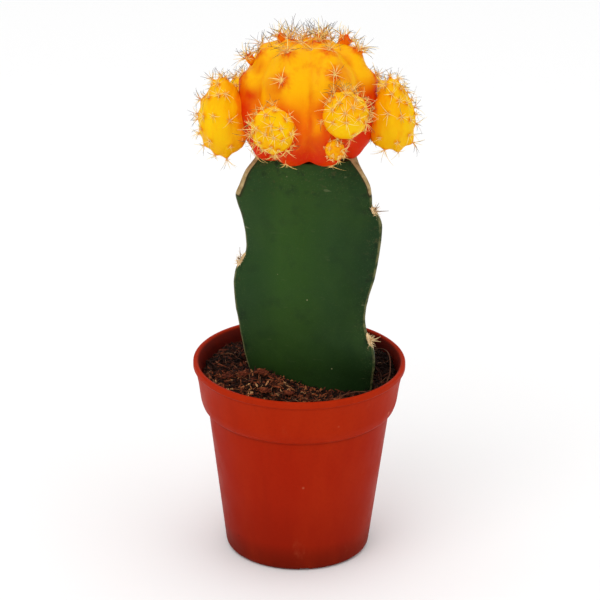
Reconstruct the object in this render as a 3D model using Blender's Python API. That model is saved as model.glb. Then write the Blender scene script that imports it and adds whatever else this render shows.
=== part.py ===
"""Potted moon cactus: an orange globe cactus grafted on a green three-ribbed stem,
standing in potting mix in a small round nursery pot.

Metres, +Z up. The origin is the middle of the pot's underside, on the surface that the
pot stands on. The front is -Y. An azimuth starts at the front and turns towards +X.
"""

from math import atan2, cos, exp, pi, radians, sin

import bmesh
import bpy
from mathutils import Matrix, Vector
from mathutils.bvhtree import BVHTree

MM = 0.001
GAP = 0.3 * MM  # clearance between pieces that touch
SOCKET_GAP = 0.7 * MM  # measured from the stem's middle line, so less across its sloping faces
PUP_GAP = 0.55 * MM  # at a pup's own points; less between them
LOOSE_GAP = 0.4 * MM  # under chips and fibres lying on uneven mix

# ---- nursery pot ----
POT_HEIGHT = 52.0 * MM
RIM_RADIUS = 27.5 * MM
LIP_ROUND = 0.9 * MM
LIP_STEPS = 5
FLARE_FOOT = (27.25 * MM, 50.2 * MM)  # radius, height
COLLAR_TOP = (26.2 * MM, 46.8 * MM)
COLLAR_FOOT = (25.45 * MM, 41.6 * MM)
SHOULDER_TOP = (25.35 * MM, 40.7 * MM)
SHOULDER_MIDDLE = (24.7 * MM, 39.4 * MM)
SHOULDER_FOOT = (23.5 * MM, 38.2 * MM)
FOOT_RADIUS = 18.65 * MM
FOOT_ROUND = 1.6 * MM
FOOT_STEPS = 3
WALL = 1.0 * MM
FLOOR = 1.6 * MM
WALL_FOOT = (17.85 * MM, 3.6 * MM)
FLOOR_EDGE_RADIUS = 16.05 * MM
POT_STEPS = 48
DRAIN_COUNT = 5
DRAIN_FIRST_AZIMUTH = radians(6)
DRAIN_RADIUS = 2.2 * MM
DRAIN_STEPS = 14
DRAIN_PITCH_RADIUS = 12.5 * MM
CHANNEL_WIDTH = 2.4 * MM
CHANNEL_DEPTH = 0.7 * MM
CHANNEL_INNER = 9.0 * MM

# ---- potting mix ----
SOIL_LEVEL = 46.6 * MM
# x, y, height and spread of each heap, in millimetres
SOIL_HEAPS = (
    (-9.5, -7.5, 3.9, 4.6),
    (-1.0, -11.0, 1.6, 4.6),
    (7.0, 21.0, 0.9, 4.0),
    (-17.0, 12.0, 0.5, 5.0),
)
SOIL_SIDE_HEIGHTS = (COLLAR_FOOT[1], SHOULDER_FOOT[1], 20.0 * MM, 3.8 * MM)
SOIL_TOP_STEPS = (0.0, 0.12, 0.28, 0.46, 0.64, 0.82, 1.0)

# ---- rootstock: a three-ribbed stem, cut level at the top and at the buried end ----
STEM_BOTTOM = 21.0
STEM_TOP = 109.3
STEM_FACE_RADIUS = 11.9
STEM_FULL_REACH = 14.0  # a rib shorter than this draws its faces in with it
STEM_RIB_POWER = 3.0
STEM_TIP_ROUND = 0.06
FACE_STEPS = 12
STEM_LEVELS = (
    21.0, 23.0, 28.0, 36.0, 42.0, 46.0, 50.0, 54.0, 58.0, 61.0, 64.0, 69.0, 74.0, 78.0,
    80.0, 82.0, 86.5, 91.5, 94.5, 97.0, 99.5, 102.0, 105.5, 108.3, 109.3,
)  # fmt: skip
# height, x and y of the stem's middle line, in millimetres
STEM_LINE = (
    (21.0, 3.2, 3.6),
    (46.9, 4.1, 4.4),
    (54.9, 2.9, 4.5),
    (62.9, 2.0, 4.6),
    (72.9, 1.7, 4.6),
    (98.9, 1.9, 4.6),
    (109.3, 1.6, 4.4),
)
# azimuth of each rib, then height and reach of its edge: it swells below each areole,
# dips at the areole, and is pared away towards the graft
STEM_RIBS = (
    (
        radians(-70),
        ((21, 10.0), (26, 13.8), (34, 16.3), (47.4, 17.6), (55, 18.2), (63, 18.8), (69, 19.6),
         (74, 20.0), (78, 19.4), (80.4, 18.0), (82.4, 16.8), (87, 16.9), (92, 17.9),
         (98.7, 19.8), (101.2, 18.7), (104.5, 17.1), (107.3, 14.6), (109.3, 12.8)),
    ),
    (
        radians(52),
        ((21, 10.0), (26, 13.5), (34, 16.3), (49, 18.9), (54, 20.6), (58, 21.0), (60.4, 20.3),
         (63, 19.0), (67, 18.8), (72, 19.8), (79, 21.8), (87, 23.2), (93.5, 23.4), (95.8, 22.4),
         (97.6, 20.5), (101.0, 20.1), (103.8, 19.3), (107.0, 16.6), (109.3, 14.0)),
    ),
    (
        radians(170),
        ((21, 8.0), (26, 11.0), (34, 12.6), (46, 14.0), (58, 16.6), (66, 17.2), (69, 15.7),
         (74, 15.4), (84, 17.0), (91, 17.8), (94, 16.6), (99, 16.8), (107.8, 13.2), (109.3, 12.4)),
    ),
)  # fmt: skip

# ---- scion: the ribbed mother globe ----
SCION_CENTRE = Vector((1.1, 3.0, 120.4)) * MM
SCION_TILT = radians(14)  # its crown leans back
SCION = {
    "radius": 17.6 * MM,
    "crown": 16.4 * MM,
    "base": 12.8 * MM,
    "squareness": 2.75,
    "ribs": 7,
    "first_rib": radians(-21.5),
    "furrow": 0.115,
    "tubercle": 1.2 * MM,
    "rows": (15, 38, 62, 90, 116, 141),
}
TUBERCLE_RISE = radians(11)  # how far a tubercle spreads along its rib
TUBERCLE_SPREAD = 0.3  # and across it, of the pitch between ribs
SCION_SEGMENTS = 42
SCION_RINGS = 22
GRAFT_HEIGHT = STEM_TOP * MM + GAP

# ---- pups: name, then in millimetres x, y, z of the middle and radius, then length over
# width and the azimuth and elevation that the tip points along
PUPS = (
    ("pup_left", -20.1, -1.0, 119.0, 5.7, 1.85, -110, 76),
    ("pup_front_left", -7.1, -14.6, 121.2, 5.4, 1.05, -30, 20),
    ("pup_front_right", 10.8, -13.6, 125.0, 5.4, 1.05, 35, 50),
    ("pup_low_right", 8.3, -14.9, 116.2, 2.6, 1.0, 15, 0),
    ("pup_right", 22.9, -1.0, 120.5, 5.3, 1.75, 105, 78),
    ("pup_back_right", 17.0, 16.6, 118.0, 5.2, 1.25, 135, 50),
    ("pup_back", 0.4, 22.6, 116.0, 4.8, 1.1, 180, 35),
    ("pup_back_left", -15.0, 16.2, 117.5, 5.2, 1.25, -130, 50),
)
PUP_SHAPE = {
    "squareness": 2.2,
    "ribs": 6,
    "first_rib": 0.0,
    "furrow": 0.08,
    "rows": (0, 38, 72, 106, 140),
}
PUP_TUBERCLE = 0.13  # of the pup's radius
PUP_SEGMENTS = 18
PUP_RINGS = 12

# ---- buds: young offsets at the scion's upper areoles; name, x, y, z and radius
BUDS = (
    ("bud_left", -13.3, 2.0, 134.0, 1.5),
    ("bud_crown_left", -5.5, 10.0, 136.6, 1.6),
    ("bud_crown", 4.5, 12.4, 135.6, 1.8),
    ("bud_crown_right", 10.6, 8.0, 136.6, 1.9),
    ("bud_right", 14.2, 3.0, 135.8, 1.2),
)
BUD_SEGMENTS = 10
BUD_RINGS = 6

# ---- loose pieces on the mix: x, y, half length, half width, half thickness, turn
BARK_CHIPS = (
    (-9.6, -8.4, 2.3, 1.6, 1.1, 25),
    (-14.4, -6.2, 1.9, 1.3, 0.8, 70),
    (-8.6, -13.8, 2.0, 1.2, 0.8, -20),
    (-2.4, -14.6, 1.6, 1.0, 0.7, 50),
    (9.3, -15.8, 1.8, 1.2, 0.9, 10),
    (-18.6, -3.4, 1.8, 1.2, 0.8, 65),
    (14.6, 14.6, 1.9, 1.2, 0.8, -35),
)
FIBRE_RADIUS = 0.24
# x, y and lift above the mix of each point on a fibre, in millimetres
COIR_FIBRES = (
    ((10.4, -13.2, 0.0), (12.6, -11.8, 0.5), (15.6, -11.4, 0.9), (18.6, -11.6, 0.5),
     (20.2, -12.8, 0.0)),
    ((17.4, 16.6, 0.0), (20.6, 12.4, 0.4), (23.2, 6.0, 0.9), (23.6, 0.0, 0.4), (22.6, -4.6, 0.0)),
    ((-22.4, -3.6, 0.0), (-20.2, -11.0, 0.3), (-16.4, -14.6, 0.6), (-11.6, -17.4, 0.0)),
)  # fmt: skip


# ---------------------------------------------------------------- helpers


def clear_scene():
    for obj in list(bpy.data.objects):
        bpy.data.objects.remove(obj, do_unlink=True)


def make_material(name, colour, roughness):
    """A plain Principled finish: linear colour, no metal."""
    material = bpy.data.materials.new(name)
    material.use_nodes = True
    shader = material.node_tree.nodes["Principled BSDF"]
    shader.inputs["Base Color"].default_value = (*colour, 1.0)
    shader.inputs["Roughness"].default_value = roughness
    shader.inputs["Metallic"].default_value = 0.0
    material.diffuse_color = (*colour, 1.0)
    return material


def add_object(name, bm, material, smooth_degrees=35):
    """Close the bmesh into a named object at the origin, shaded smooth but for its edges."""
    bmesh.ops.recalc_face_normals(bm, faces=bm.faces)
    if bm.calc_volume(signed=True) < 0:
        bmesh.ops.reverse_faces(bm, faces=bm.faces)
    mesh = bpy.data.meshes.new(name)
    bm.to_mesh(mesh)
    bm.free()
    mesh.shade_smooth()
    mesh.set_sharp_from_angle(angle=radians(smooth_degrees))
    mesh.materials.append(material)
    obj = bpy.data.objects.new(name, mesh)
    bpy.context.scene.collection.objects.link(obj)
    return obj


def direction(azimuth, elevation=0.0):
    """Unit vector: azimuth from the front towards +X, elevation above the level."""
    level = cos(elevation)
    return Vector((sin(azimuth) * level, -cos(azimuth) * level, sin(elevation)))


def arc(centre, radius, start, end, steps):
    """Points of a round stretch of an outline; angles in degrees, 0 pointing outwards."""
    angles = [radians(start + (end - start) * i / steps) for i in range(steps + 1)]
    return [(centre[0] + radius * cos(a), centre[1] + radius * sin(a)) for a in angles]


def follow(table, height):
    """Read a table of (height, value...) rows on a smooth curve through its rows."""
    rows = [tuple(float(n) for n in row) for row in table]
    last = len(rows) - 1
    i = max(k for k in range(last) if k == 0 or rows[k][0] <= height)
    t = (height - rows[i][0]) / (rows[i + 1][0] - rows[i][0])
    values = []
    for column in range(1, len(rows[0])):
        ends = []
        for k in (i, i + 1):
            low, high = rows[max(k - 1, 0)], rows[min(k + 1, last)]
            slope = (high[column] - low[column]) / (high[0] - low[0])
            ends.append((rows[k][column], slope * (rows[i + 1][0] - rows[i][0])))
        (p0, m0), (p1, m1) = ends
        values.append(
            (2 * t**3 - 3 * t**2 + 1) * p0
            + (t**3 - 2 * t**2 + t) * m0
            + (3 * t**2 - 2 * t**3) * p1
            + (t**3 - t**2) * m1
        )
    return values[0] if len(values) == 1 else values


def spun(outline, steps):
    """Turn an outline of (radius, height) points about Z into a closed solid."""
    bm = bmesh.new()
    verts = [bm.verts.new((r, 0.0, z)) for r, z in outline]
    edges = [bm.edges.new(pair) for pair in zip(verts, verts[1:])]
    bmesh.ops.spin(bm, geom=verts + edges, cent=(0, 0, 0), axis=(0, 0, 1),
                   angle=2 * pi, steps=steps, use_merge=True)  # fmt: skip
    bmesh.ops.remove_doubles(bm, verts=bm.verts, dist=0.001 * MM)
    return bm


def loft(rings):
    """Extrude a loop of edges from ring to ring and cap both ends."""
    bm = bmesh.new()
    verts = [bm.verts.new(point) for point in rings[0]]
    edges = [bm.edges.new(pair) for pair in zip(verts, verts[1:] + verts[:1])]
    bm.faces.new(verts)
    for ring in rings[1:]:
        grown = bmesh.ops.extrude_edge_only(bm, edges=edges)["geom"]
        new = {v for v in grown if isinstance(v, bmesh.types.BMVert)}
        verts = [next(e.other_vert(v) for e in v.link_edges if e.other_vert(v) in new) for v in verts]
        edges = [next(e for e in a.link_edges if e.other_vert(a) is b)
                 for a, b in zip(verts, verts[1:] + verts[:1])]  # fmt: skip
        for vert, point in zip(verts, ring):
            vert.co = point
    bm.faces.new(verts)
    return bm


# ---------------------------------------------------------------- pot


def pot_inner_outline():
    """The pot's inside, from the lip down to the middle of the floor."""
    return [
        (COLLAR_TOP[0] - WALL, COLLAR_TOP[1]),
        (COLLAR_FOOT[0] - WALL, COLLAR_FOOT[1]),
        (SHOULDER_FOOT[0] - WALL, SHOULDER_FOOT[1]),
        WALL_FOOT,
        (FLOOR_EDGE_RADIUS, FLOOR),
        (0.0, FLOOR),
    ]


def pot_inner_radius(height):
    """Inner wall radius at a height on the wall."""
    points = pot_inner_outline()[:4]
    for (r_high, z_high), (r_low, z_low) in zip(points, points[1:]):
        if height >= z_low:
            return r_low + (r_high - r_low) * (height - z_low) / (z_high - z_low)
    return points[-1][0]


def drain_cutters():
    """Holes through the floor near its edge, and the channels that let water out."""
    holes = bmesh.new()
    channels = bmesh.new()
    length = FOOT_RADIUS + FOOT_ROUND - CHANNEL_INNER
    for i in range(DRAIN_COUNT):
        azimuth = DRAIN_FIRST_AZIMUTH + 2 * pi * i / DRAIN_COUNT
        turn = Matrix.Rotation(azimuth, 4, "Z")
        hole_place = Matrix.Translation(direction(azimuth) * DRAIN_PITCH_RADIUS)
        bmesh.ops.create_cone(holes, cap_ends=True, segments=DRAIN_STEPS, radius1=DRAIN_RADIUS,
                              radius2=DRAIN_RADIUS, depth=4 * FLOOR, matrix=hole_place)  # fmt: skip
        middle = direction(azimuth) * (CHANNEL_INNER + length / 2)
        size = Matrix.Diagonal((CHANNEL_WIDTH, length, 2 * CHANNEL_DEPTH, 1))
        bmesh.ops.create_cube(channels, size=1, matrix=Matrix.Translation(middle) @ turn @ size)
    cutters = []
    for name, bm in (("drain_hole_cutter", holes), ("drain_channel_cutter", channels)):
        cutter = add_object(name, bm, make_material(name, (0.5, 0.5, 0.5), 0.5))
        cutter.hide_render = True
        cutter.display_type = "WIRE"
        cutters.append(cutter)
    return cutters


def build_pot():
    outer = [(0.0, 0.0), (CHANNEL_INNER, 0.0)]
    outer += arc((FOOT_RADIUS - FOOT_ROUND, FOOT_ROUND), FOOT_ROUND, -90, -6, FOOT_STEPS)
    outer += [
        SHOULDER_FOOT,
        SHOULDER_MIDDLE,
        SHOULDER_TOP,
        COLLAR_FOOT,
        COLLAR_TOP,
        FLARE_FOOT,
    ]
    outer += arc((RIM_RADIUS - LIP_ROUND, POT_HEIGHT - LIP_ROUND), LIP_ROUND, 0, 180, LIP_STEPS)
    material = make_material("pot_plastic", (0.36, 0.021, 0.007), 0.42)
    pot = add_object("pot", spun(outer + pot_inner_outline(), POT_STEPS), material)
    for cutter in drain_cutters():
        cut = pot.modifiers.new(cutter.name, "BOOLEAN")
        cut.operation = "DIFFERENCE"
        cut.solver = "EXACT"
        cut.object = cutter
    return pot


# ---------------------------------------------------------------- rootstock and mix


def stem_ring(height, extra=0.0):
    """Outline of the stem at a height in mm: three faces, with points crowding at the ribs."""
    middle = Vector((*follow(STEM_LINE, height), height))
    ribs = [(azimuth, follow(edge, height)) for azimuth, edge in STEM_RIBS]
    points = []
    for (start, reach_a), (end, reach_b) in zip(ribs, ribs[1:] + ribs[:1]):
        span = (end - start) % (2 * pi)
        for step in range(FACE_STEPS):
            s = (1 - cos(pi * step / FACE_STEPS)) / 2
            near, reach = (s * 2, reach_a) if s < 0.5 else ((1 - s) * 2, reach_b)
            near = (near**2 + STEM_TIP_ROUND**2) ** 0.5 - STEM_TIP_ROUND
            rise = max(0.0, 1 - near) ** STEM_RIB_POWER
            radius = STEM_FACE_RADIUS * min(1.0, reach / STEM_FULL_REACH) ** 0.5
            radius += (reach - radius) * rise + extra
            points.append((middle + direction(start + span * s) * radius) * MM)
    return points


def build_rootstock():
    rings = [stem_ring(level) for level in STEM_LEVELS]
    material = make_material("rootstock_skin", (0.024, 0.060, 0.014), 0.5)
    return add_object("rootstock", loft(rings), material, 50)


def soil_height(x, y):
    """Height of the mix's surface, in metres."""
    height = SOIL_LEVEL
    for heap_x, heap_y, rise, spread in SOIL_HEAPS:
        away = ((x / MM - heap_x) ** 2 + (y / MM - heap_y) ** 2) / (2 * spread**2)
        height += rise * MM * exp(-away)
    return height


def build_soil():
    """The mix fills the pot, with a socket in it where the stem stands."""
    slack = SOCKET_GAP / MM
    buried = [level for level in STEM_LEVELS if level < COLLAR_FOOT[1] / MM]
    buried.append(COLLAR_FOOT[1] / MM)
    socket = [stem_ring(level, slack) for level in buried]
    for point in socket[0]:
        point.z -= GAP
    inside = stem_ring(SOIL_LEVEL / MM, slack)
    middle = Vector((*follow(STEM_LINE, SOIL_LEVEL / MM), 0)) * MM
    bearings = [(point - middle).to_2d().normalized() for point in inside]
    rings = socket
    edge_radius = pot_inner_radius(SOIL_LEVEL) - GAP
    for step in SOIL_TOP_STEPS:
        ring = []
        for point, bearing in zip(inside, bearings):
            spot = point.to_2d().lerp(bearing * edge_radius, step)
            ring.append(Vector((*spot, soil_height(*spot))))
        rings.append(ring)
    for height in SOIL_SIDE_HEIGHTS:
        radius = pot_inner_radius(height) - GAP
        rings.append([Vector((*(bearing * radius), height)) for bearing in bearings])
    radius = FLOOR_EDGE_RADIUS - GAP
    rings.append([Vector((*(bearing * radius), FLOOR + GAP)) for bearing in bearings])
    material = make_material("potting_mix", (0.032, 0.016, 0.009), 0.95)
    return add_object("potting_mix", loft(rings), material)


# ---------------------------------------------------------------- scion and offsets


def globe_radius(shape, polar, azimuth):
    """Surface of a ribbed cactus globe: a squared ellipsoid with furrows between its ribs
    and a tubercle under each areole."""
    power = shape["squareness"]
    level = max(sin(polar), 0.0)
    height = shape["crown"] if polar < pi / 2 else shape["base"]
    across = (level / shape["radius"]) ** power
    along = (abs(cos(polar)) / height) ** power
    radius = (across + along) ** (-1 / power)
    pitch = 2 * pi / shape["ribs"]
    off = azimuth - shape["first_rib"]
    off -= round(off / pitch) * pitch
    furrow = 1 - abs(cos(off * pi / pitch))
    radius *= 1 - shape["furrow"] * furrow * level**0.6
    for row in shape["rows"]:
        lift = (polar - radians(row)) / TUBERCLE_RISE
        aside = off * max(level, 0.2) / (TUBERCLE_SPREAD * pitch)
        radius += shape["tubercle"] * exp(-(lift**2) - aside**2)
    return radius


def globe(shape, segments, rings, frame):
    """A UV sphere shaped by globe_radius, then placed with its crown along frame's Z."""
    bm = bmesh.new()
    bmesh.ops.create_uvsphere(bm, u_segments=segments, v_segments=rings, radius=1)
    for vert in bm.verts:
        polar = vert.co.angle(Vector((0, 0, 1)))
        azimuth = atan2(vert.co.x, -vert.co.y)
        vert.co *= globe_radius(shape, polar, azimuth)
    bm.transform(frame)
    return bm


def build_scion():
    frame = Matrix.Translation(SCION_CENTRE) @ Matrix.Rotation(-SCION_TILT, 4, "X")
    bm = globe(SCION, SCION_SEGMENTS, SCION_RINGS, frame)
    cut = bmesh.ops.bisect_plane(bm, geom=bm.verts[:] + bm.edges[:] + bm.faces[:],
                                 plane_co=(0, 0, GRAFT_HEIGHT), plane_no=(0, 0, 1),
                                 clear_inner=True)  # fmt: skip
    rim = [e for e in cut["geom_cut"] if isinstance(e, bmesh.types.BMEdge)]
    bmesh.ops.contextual_create(bm, geom=rim)
    bmesh.ops.recalc_face_normals(bm, faces=bm.faces)
    carrier = BVHTree.FromBMesh(bm)
    material = make_material("scion_skin", (0.90, 0.27, 0.01), 0.45)
    add_object("scion", bm, material)
    return carrier


def seat_on_scion(bm, carrier):
    """Hold every point of an offset clear of the scion that it grows from."""
    for vert in bm.verts:
        outward = vert.co - SCION_CENTRE
        hit = carrier.ray_cast(SCION_CENTRE, outward)
        if hit[0] is None:
            continue
        skin = (hit[0] - SCION_CENTRE).length + PUP_GAP
        if outward.length < skin:
            vert.co = SCION_CENTRE + outward.normalized() * skin


def build_pups(carrier):
    material = make_material("pup_skin", (0.93, 0.50, 0.01), 0.45)
    for name, x, y, z, radius, stretch, tip_azimuth, tip_elevation in PUPS:
        tip = direction(radians(tip_azimuth), radians(tip_elevation))
        turn = tip.to_track_quat("Z", "Y").to_matrix().to_4x4()
        length = radius * stretch * MM
        shape = dict(PUP_SHAPE, radius=radius * MM, crown=length, base=length)
        shape["tubercle"] = radius * PUP_TUBERCLE * MM
        place = Matrix.Translation(Vector((x, y, z)) * MM) @ turn
        bm = globe(shape, PUP_SEGMENTS, PUP_RINGS, place)
        seat_on_scion(bm, carrier)
        add_object(name, bm, material)


def build_buds(carrier):
    material = make_material("bud_skin", (0.72, 0.08, 0.01), 0.5)
    for name, x, y, z, radius in BUDS:
        place = Matrix.Translation(Vector((x, y, z)) * MM)
        bm = bmesh.new()
        bmesh.ops.create_uvsphere(bm, u_segments=BUD_SEGMENTS, v_segments=BUD_RINGS,
                                  radius=radius * MM, matrix=place)  # fmt: skip
        seat_on_scion(bm, carrier)
        add_object(name, bm, material)


# ---------------------------------------------------------------- loose pieces on the mix


def build_bark_chips():
    material = make_material("bark", (0.16, 0.055, 0.025), 0.85)
    for number, (x, y, length, width, thick, turn) in enumerate(BARK_CHIPS, 1):
        bm = bmesh.new()
        bmesh.ops.create_icosphere(bm, subdivisions=1, radius=1)
        for vert in bm.verts:
            vert.co.z = max(-0.7, min(0.8, vert.co.z))
        size = Matrix.Diagonal((length * MM, width * MM, thick * MM, 1))
        ground = soil_height(x * MM, y * MM)
        place = Matrix.Translation((x * MM, y * MM, ground + thick * MM))
        bm.transform(place @ Matrix.Rotation(radians(turn), 4, "Z") @ size)
        for vert in bm.verts:
            rest = soil_height(vert.co.x, vert.co.y) + LOOSE_GAP
            vert.co.z = max(vert.co.z, rest)
        add_object(f"bark_chip_{number}", bm, material, 20)


def fibre_route(points):
    """A smooth line through a fibre's points, lying on the mix."""
    table = [(i, *point) for i, point in enumerate(points)]
    count = 4 * (len(points) - 1)
    route = []
    for i in range(count + 1):
        x, y, lift = follow(table, i * (len(points) - 1) / count)
        rest = soil_height(x * MM, y * MM) + (FIBRE_RADIUS + lift) * MM + LOOSE_GAP
        route.append((x * MM, y * MM, rest))
    return route


def build_coir_fibres():
    material = make_material("coir", (0.30, 0.16, 0.08), 0.8)
    for number, points in enumerate(COIR_FIBRES, 1):
        name = f"coir_fibre_{number}"
        curve = bpy.data.curves.new(name, "CURVE")
        curve.dimensions = "3D"
        curve.bevel_depth = FIBRE_RADIUS * MM
        curve.bevel_resolution = 1
        curve.use_fill_caps = True
        route = fibre_route(points)
        spline = curve.splines.new("POLY")
        spline.points.add(len(route) - 1)
        for spot, (x, y, z) in zip(spline.points, route):
            spot.co = (x, y, z, 1)
        curve.materials.append(material)
        bpy.context.scene.collection.objects.link(bpy.data.objects.new(name, curve))


def main():
    clear_scene()
    build_pot()
    build_rootstock()
    build_soil()
    carrier = build_scion()
    build_pups(carrier)
    build_buds(carrier)
    build_bark_chips()
    build_coir_fibres()


main()
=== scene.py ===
import random
from math import atan2, cos, exp, pi, radians, sin, sqrt

import bmesh
import bpy
from mathutils import Matrix, Vector, noise
from mathutils.bvhtree import BVHTree


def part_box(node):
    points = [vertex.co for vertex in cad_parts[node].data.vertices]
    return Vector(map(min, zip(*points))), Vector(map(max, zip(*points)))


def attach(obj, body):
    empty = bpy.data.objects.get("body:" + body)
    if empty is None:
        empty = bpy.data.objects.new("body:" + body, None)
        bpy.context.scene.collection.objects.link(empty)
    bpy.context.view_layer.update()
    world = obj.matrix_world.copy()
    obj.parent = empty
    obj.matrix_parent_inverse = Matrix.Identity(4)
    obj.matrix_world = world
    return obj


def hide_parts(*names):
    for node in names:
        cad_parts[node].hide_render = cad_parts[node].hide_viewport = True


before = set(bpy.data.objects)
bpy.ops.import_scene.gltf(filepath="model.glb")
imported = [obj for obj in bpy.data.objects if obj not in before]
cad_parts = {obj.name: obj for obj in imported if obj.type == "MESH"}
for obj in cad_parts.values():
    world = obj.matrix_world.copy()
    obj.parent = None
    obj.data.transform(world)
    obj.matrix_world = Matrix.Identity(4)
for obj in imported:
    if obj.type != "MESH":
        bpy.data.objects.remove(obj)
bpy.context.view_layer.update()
scene = bpy.context.scene
mm = 0.001


def report(text):
    print("moon cactus:", text)


def direction(azimuth, elevation=0.0):
    # azimuth from the front (-Y) towards +X, elevation above the level
    level = cos(elevation)
    return Vector((sin(azimuth) * level, -cos(azimuth) * level, sin(elevation)))


def fromTop(azimuth, polar):
    # the same with an angle down from straight up
    return direction(azimuth) * sin(polar) + Vector((0, 0, cos(polar)))


def anyWay(rng, *limits):
    # a random vector; each part has its own limits, or -1 and 1
    return Vector([rng.uniform(*pair) for pair in limits or ((-1, 1),) * 3])


def smoothStep(low, high, value):
    t = min(max((value - low) / (high - low), 0.0), 1.0)
    return t * t * (3 - 2 * t)


def fade(low, high, value):
    return 1 - smoothStep(low, high, value)


def follow(table, height):
    # a smooth curve through rows of (height, value, ...)
    rows = [tuple(float(n) for n in row) for row in table]
    last = len(rows) - 1
    i = max(k for k in range(last) if k == 0 or rows[k][0] <= height)
    step = rows[i + 1][0] - rows[i][0]
    t = (height - rows[i][0]) / step
    values = []
    for column in range(1, len(rows[0])):
        ends = []
        for k in (i, i + 1):
            low, high = rows[max(k - 1, 0)], rows[min(k + 1, last)]
            ends += [rows[k][column], step * (high[column] - low[column]) / (high[0] - low[0])]
        startValue, startSlope, endValue, endSlope = ends
        values.append((2 * t**3 - 3 * t**2 + 1) * startValue + (t**3 - 2 * t**2 + t) * startSlope
                      + (3 * t**2 - 2 * t**3) * endValue + (t**3 - t**2) * endSlope)
    return values[0] if len(values) == 1 else values


def packedSolid(node, merge=0.0):
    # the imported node's faces, joined up where corners are nearer than "merge"
    bm = bmesh.new()
    bm.from_mesh(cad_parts[node].data)
    if merge:
        bmesh.ops.remove_doubles(bm, verts=bm.verts, dist=merge)
    return bm


def middleOf(node):
    low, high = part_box(node)
    return (low + high) / 2, (high - low) / 2


def placed(name, data):
    item = bpy.data.objects.new(name, data)
    scene.collection.objects.link(item)
    return item


def finalMesh(item):
    # the mesh with the object's curves or modifiers worked out
    bpy.context.view_layer.update()
    return bpy.data.meshes.new_from_object(item.evaluated_get(bpy.context.evaluated_depsgraph_get()))


def newLayers(bm, *names):
    for name in names:
        bm.verts.layers.float.new(name)
    return [bm.verts.layers.float[name] for name in names]


def addBall(bm, detail, spot=(0, 0, 0), turn=Matrix(), size=(1, 1, 1)):
    place = Matrix.Translation(spot) @ turn @ Matrix.Diagonal((*size, 1))
    return bmesh.ops.create_icosphere(bm, subdivisions=detail, radius=1, matrix=place)["verts"]


def makePiece(name, mesh, material, nodes=()):
    mesh.name = name
    mesh.materials.clear()
    mesh.materials.append(material)
    piece = placed(name, mesh)
    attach(piece, "root")
    if nodes:
        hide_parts(*nodes)
    return piece


def meshFrom(bm, sharpDegrees=60, merge=True, scale=1):
    bm.transform(Matrix.Scale(scale, 4))
    if merge:
        bmesh.ops.remove_doubles(bm, verts=bm.verts, dist=0.000002)
    bmesh.ops.recalc_face_normals(bm, faces=bm.faces)
    if bm.calc_volume(signed=True) < 0:
        bmesh.ops.reverse_faces(bm, faces=bm.faces)
    mesh = bpy.data.meshes.new("mesh")
    bm.to_mesh(mesh)
    bm.free()
    mesh.shade_smooth()
    mesh.set_sharp_from_angle(angle=radians(sharpDegrees))
    return mesh


def strandMesh(strands):
    # thin tapering hairs: each strand is (points, base radius, tint), all with as many points
    count = len(strands[0][0])
    curve = bpy.data.curves.new("strands", "CURVE")
    curve.dimensions = "3D"
    curve.bevel_depth = 1.0
    curve.bevel_resolution = 0
    for points, thickness, tint in strands:
        spline = curve.splines.new("POLY")
        spline.points.add(count - 1)
        for i, (spot, point) in enumerate(zip(spline.points, points)):
            spot.co = (*point, 1)
            spot.radius = thickness * (1 - 0.72 * (i / (count - 1)) ** 1.3)
    holder = placed("strands", curve)
    tubes = finalMesh(holder)
    bpy.data.objects.remove(holder)
    # every tube is four-sided, ring after ring from the root, and gets its two ends closed
    block = count * 4
    bm = bmesh.new()
    bm.from_mesh(tubes)
    along, tint = newLayers(bm, "along", "tint")
    for i, vert in enumerate(bm.verts):
        vert[along] = (i % block) // 4 / (count - 1)
        vert[tint] = strands[i // block][2]
    bmesh.ops.holes_fill(bm, edges=[e for e in bm.edges if e.is_boundary], sides=4)
    return meshFrom(bm, 180, merge=False)


def linear(red, green, blue):
    # screen colour, 0 to 255, to the shader's own scale
    return tuple((c / 255 / 12.92 if c <= 10 else ((c / 255 + 0.055) / 1.055) ** 2.4)
                 for c in (red, green, blue)) + (1.0,)


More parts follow.
